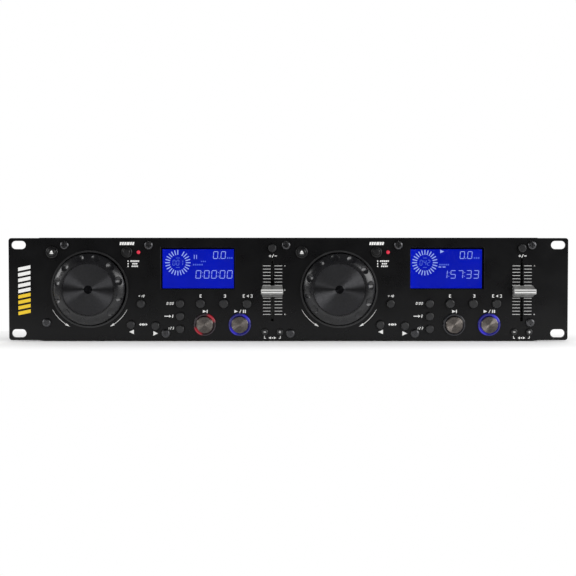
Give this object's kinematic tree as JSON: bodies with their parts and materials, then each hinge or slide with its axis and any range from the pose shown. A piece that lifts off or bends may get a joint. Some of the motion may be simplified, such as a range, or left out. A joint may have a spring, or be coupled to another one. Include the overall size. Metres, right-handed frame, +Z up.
{
  "type": "dual disc player control console",
  "caption": "Black 19-inch rack control console of a twin disc player: jog wheels, blue displays, pitch faders and push buttons on a flat panel with rack ears, over a shallow case.",
  "frame": {"origin": "middle of the four rack slots, on the front panel's rear face", "axes": "+X to the right seen from the front, +Y to the rear, +Z up"},
  "size_m": [0.4826, 0.0881, 0.0894],
  "materials": {
    "panel_enamel": "fine satin black",
    "case_enamel": "satin black",
    "black_steel": "blackened",
    "pad_rubber": "plain",
    "zinc_steel": "zinc plated",
    "channel_steel": "blackened",
    "circuit_board": "solder mask",
    "switch_plastic": "moulded",
    "bezel_plastic": "polished",
    "base_plastic": "moulded",
    "window_clear": "clear",
    "display_blue": "backlit blue",
    "ring_clear": "clear",
    "lamp_red": "tinted",
    "wheel_plastic": "polished",
    "face_aluminium": "turned, anodised black",
    "knob_silver": "silver paint",
    "button_plastic": "moulded",
    "cap_aluminium": "satin",
    "socket_plastic": "moulded",
    "ribbon_grey": "flat cable"
  },
  "bodies": {
    "chassis": {"front_panel": "panel_enamel", "case_shell": "case_enamel", "rear_cover": "case_enamel", "base_pads": "pad_rubber", "screws": "black_steel", "board_standoffs": "zinc_steel", "control_board": "circuit_board", "tact_switches": "switch_plastic", "jog_bezels": "bezel_plastic", "jog_bases": "base_plastic", "display_windows": "window_clear", "display_glasses": "display_blue", "display_modules": "base_plastic", "fader_bodies": "channel_steel", "light_rings": "ring_clear", "mode_lamps": "lamp_red", "link_sockets": "socket_plastic", "link_harness": "ribbon_grey"},
    "jog_left": {"jog_wheel_left": "wheel_plastic", "jog_face_left": "face_aluminium", "encoder_disc_left": "switch_plastic"},
    "fader_left": {"fader_lever_left": "zinc_steel", "fader_knob_left": "knob_silver"},
    "eject_left": {"eject_button_left": "button_plastic"},
    "mode_left": {"mode_button_left": "button_plastic"},
    "skip_ten_left": {"skip_ten_button_left": "button_plastic"},
    "track_back_left": {"track_back_button_left": "button_plastic"},
    "track_next_left": {"track_next_button_left": "button_plastic"},
    "time_left": {"time_button_left": "button_plastic"},
    "single_left": {"single_button_left": "button_plastic"},
    "program_left": {"program_button_left": "button_plastic"},
    "loop_in_left": {"loop_in_button_left": "button_plastic"},
    "loop_out_left": {"loop_out_button_left": "button_plastic"},
    "reloop_left": {"reloop_button_left": "button_plastic"},
    "cue_left": {"cue_button_left": "cap_aluminium"},
    "play_left": {"play_button_left": "cap_aluminium"},
    "pitch_left": {"pitch_button_left": "button_plastic"},
    "bend_minus_left": {"bend_minus_button_left": "button_plastic"},
    "bend_plus_left": {"bend_plus_button_left": "button_plastic"},
    "jog_right": {"jog_wheel_right": "wheel_plastic", "jog_face_right": "face_aluminium", "encoder_disc_right": "switch_plastic"},
    "fader_right": {"fader_lever_right": "zinc_steel", "fader_knob_right": "knob_silver"},
    "eject_right": {"eject_button_right": "button_plastic"},
    "mode_right": {"mode_button_right": "button_plastic"},
    "skip_ten_right": {"skip_ten_button_right": "button_plastic"},
    "track_back_right": {"track_back_button_right": "button_plastic"},
    "track_next_right": {"track_next_button_right": "button_plastic"},
    "time_right": {"time_button_right": "button_plastic"},
    "single_right": {"single_button_right": "button_plastic"},
    "program_right": {"program_button_right": "button_plastic"},
    "loop_in_right": {"loop_in_button_right": "button_plastic"},
    "loop_out_right": {"loop_out_button_right": "button_plastic"},
    "reloop_right": {"reloop_button_right": "button_plastic"},
    "cue_right": {"cue_button_right": "cap_aluminium"},
    "play_right": {"play_button_right": "cap_aluminium"},
    "pitch_right": {"pitch_button_right": "button_plastic"},
    "bend_minus_right": {"bend_minus_button_right": "button_plastic"},
    "bend_plus_right": {"bend_plus_button_right": "button_plastic"}
  },
  "joints": [
    {"name": "jog_left_spin", "type": "hinge", "parent": "chassis", "child": "jog_left", "pos_m": [-0.1714, 0, 0], "axis": [0, -1, 0], "continuous": true},
    {"name": "fader_left_slide", "type": "slide", "parent": "chassis", "child": "fader_left", "axis": [0, 0, 1], "range_m": [-0.0217, 0.0233]},
    {"name": "eject_left_press", "type": "slide", "parent": "chassis", "child": "eject_left", "axis": [0, 1, 0], "range_m": [0, 0.0008], "stiffness_N_per_m": 800, "springref_m": -0.0005},
    {"name": "mode_left_press", "type": "slide", "parent": "chassis", "child": "mode_left", "axis": [0, 1, 0], "range_m": [0, 0.0008], "stiffness_N_per_m": 800, "springref_m": -0.0005},
    {"name": "skip_ten_left_press", "type": "slide", "parent": "chassis", "child": "skip_ten_left", "axis": [0, 1, 0], "range_m": [0, 0.0008], "stiffness_N_per_m": 800, "springref_m": -0.0005},
    {"name": "track_back_left_press", "type": "slide", "parent": "chassis", "child": "track_back_left", "axis": [0, 1, 0], "range_m": [0, 0.0008], "stiffness_N_per_m": 800, "springref_m": -0.0005},
    {"name": "track_next_left_press", "type": "slide", "parent": "chassis", "child": "track_next_left", "axis": [0, 1, 0], "range_m": [0, 0.0008], "stiffness_N_per_m": 800, "springref_m": -0.0005},
    {"name": "time_left_press", "type": "slide", "parent": "chassis", "child": "time_left", "axis": [0, 1, 0], "range_m": [0, 0.0008], "stiffness_N_per_m": 800, "springref_m": -0.0005},
    {"name": "single_left_press", "type": "slide", "parent": "chassis", "child": "single_left", "axis": [0, 1, 0], "range_m": [0, 0.0008], "stiffness_N_per_m": 800, "springref_m": -0.0005},
    {"name": "program_left_press", "type": "slide", "parent": "chassis", "child": "program_left", "axis": [0, 1, 0], "range_m": [0, 0.0008], "stiffness_N_per_m": 800, "springref_m": -0.0005},
    {"name": "loop_in_left_press", "type": "slide", "parent": "chassis", "child": "loop_in_left", "axis": [0, 1, 0], "range_m": [0, 0.0008], "stiffness_N_per_m": 800, "springref_m": -0.0005},
    {"name": "loop_out_left_press", "type": "slide", "parent": "chassis", "child": "loop_out_left", "axis": [0, 1, 0], "range_m": [0, 0.0008], "stiffness_N_per_m": 800, "springref_m": -0.0005},
    {"name": "reloop_left_press", "type": "slide", "parent": "chassis", "child": "reloop_left", "axis": [0, 1, 0], "range_m": [0, 0.0008], "stiffness_N_per_m": 800, "springref_m": -0.0005},
    {"name": "cue_left_press", "type": "slide", "parent": "chassis", "child": "cue_left", "axis": [0, 1, 0], "range_m": [0, 0.0008], "stiffness_N_per_m": 800, "springref_m": -0.0005},
    {"name": "play_left_press", "type": "slide", "parent": "chassis", "child": "play_left", "axis": [0, 1, 0], "range_m": [0, 0.0008], "stiffness_N_per_m": 800, "springref_m": -0.0005},
    {"name": "pitch_left_press", "type": "slide", "parent": "chassis", "child": "pitch_left", "axis": [0, 1, 0], "range_m": [0, 0.0008], "stiffness_N_per_m": 800, "springref_m": -0.0005},
    {"name": "bend_minus_left_press", "type": "slide", "parent": "chassis", "child": "bend_minus_left", "axis": [0, 1, 0], "range_m": [0, 0.0008], "stiffness_N_per_m": 800, "springref_m": -0.0005},
    {"name": "bend_plus_left_press", "type": "slide", "parent": "chassis", "child": "bend_plus_left", "axis": [0, 1, 0], "range_m": [0, 0.0008], "stiffness_N_per_m": 800, "springref_m": -0.0005},
    {"name": "jog_right_spin", "type": "hinge", "parent": "chassis", "child": "jog_right", "pos_m": [0.0438, 0, 0], "axis": [0, -1, 0], "continuous": true},
    {"name": "fader_right_slide", "type": "slide", "parent": "chassis", "child": "fader_right", "axis": [0, 0, 1], "range_m": [-0.0217, 0.0233]},
    {"name": "eject_right_press", "type": "slide", "parent": "chassis", "child": "eject_right", "axis": [0, 1, 0], "range_m": [0, 0.0008], "stiffness_N_per_m": 800, "springref_m": -0.0005},
    {"name": "mode_right_press", "type": "slide", "parent": "chassis", "child": "mode_right", "axis": [0, 1, 0], "range_m": [0, 0.0008], "stiffness_N_per_m": 800, "springref_m": -0.0005},
    {"name": "skip_ten_right_press", "type": "slide", "parent": "chassis", "child": "skip_ten_right", "axis": [0, 1, 0], "range_m": [0, 0.0008], "stiffness_N_per_m": 800, "springref_m": -0.0005},
    {"name": "track_back_right_press", "type": "slide", "parent": "chassis", "child": "track_back_right", "axis": [0, 1, 0], "range_m": [0, 0.0008], "stiffness_N_per_m": 800, "springref_m": -0.0005},
    {"name": "track_next_right_press", "type": "slide", "parent": "chassis", "child": "track_next_right", "axis": [0, 1, 0], "range_m": [0, 0.0008], "stiffness_N_per_m": 800, "springref_m": -0.0005},
    {"name": "time_right_press", "type": "slide", "parent": "chassis", "child": "time_right", "axis": [0, 1, 0], "range_m": [0, 0.0008], "stiffness_N_per_m": 800, "springref_m": -0.0005},
    {"name": "single_right_press", "type": "slide", "parent": "chassis", "child": "single_right", "axis": [0, 1, 0], "range_m": [0, 0.0008], "stiffness_N_per_m": 800, "springref_m": -0.0005},
    {"name": "program_right_press", "type": "slide", "parent": "chassis", "child": "program_right", "axis": [0, 1, 0], "range_m": [0, 0.0008], "stiffness_N_per_m": 800, "springref_m": -0.0005},
    {"name": "loop_in_right_press", "type": "slide", "parent": "chassis", "child": "loop_in_right", "axis": [0, 1, 0], "range_m": [0, 0.0008], "stiffness_N_per_m": 800, "springref_m": -0.0005},
    {"name": "loop_out_right_press", "type": "slide", "parent": "chassis", "child": "loop_out_right", "axis": [0, 1, 0], "range_m": [0, 0.0008], "stiffness_N_per_m": 800, "springref_m": -0.0005},
    {"name": "reloop_right_press", "type": "slide", "parent": "chassis", "child": "reloop_right", "axis": [0, 1, 0], "range_m": [0, 0.0008], "stiffness_N_per_m": 800, "springref_m": -0.0005},
    {"name": "cue_right_press", "type": "slide", "parent": "chassis", "child": "cue_right", "axis": [0, 1, 0], "range_m": [0, 0.0008], "stiffness_N_per_m": 800, "springref_m": -0.0005},
    {"name": "play_right_press", "type": "slide", "parent": "chassis", "child": "play_right", "axis": [0, 1, 0], "range_m": [0, 0.0008], "stiffness_N_per_m": 800, "springref_m": -0.0005},
    {"name": "pitch_right_press", "type": "slide", "parent": "chassis", "child": "pitch_right", "axis": [0, 1, 0], "range_m": [0, 0.0008], "stiffness_N_per_m": 800, "springref_m": -0.0005},
    {"name": "bend_minus_right_press", "type": "slide", "parent": "chassis", "child": "bend_minus_right", "axis": [0, 1, 0], "range_m": [0, 0.0008], "stiffness_N_per_m": 800, "springref_m": -0.0005},
    {"name": "bend_plus_right_press", "type": "slide", "parent": "chassis", "child": "bend_plus_right", "axis": [0, 1, 0], "range_m": [0, 0.0008], "stiffness_N_per_m": 800, "springref_m": -0.0005}
  ]
}
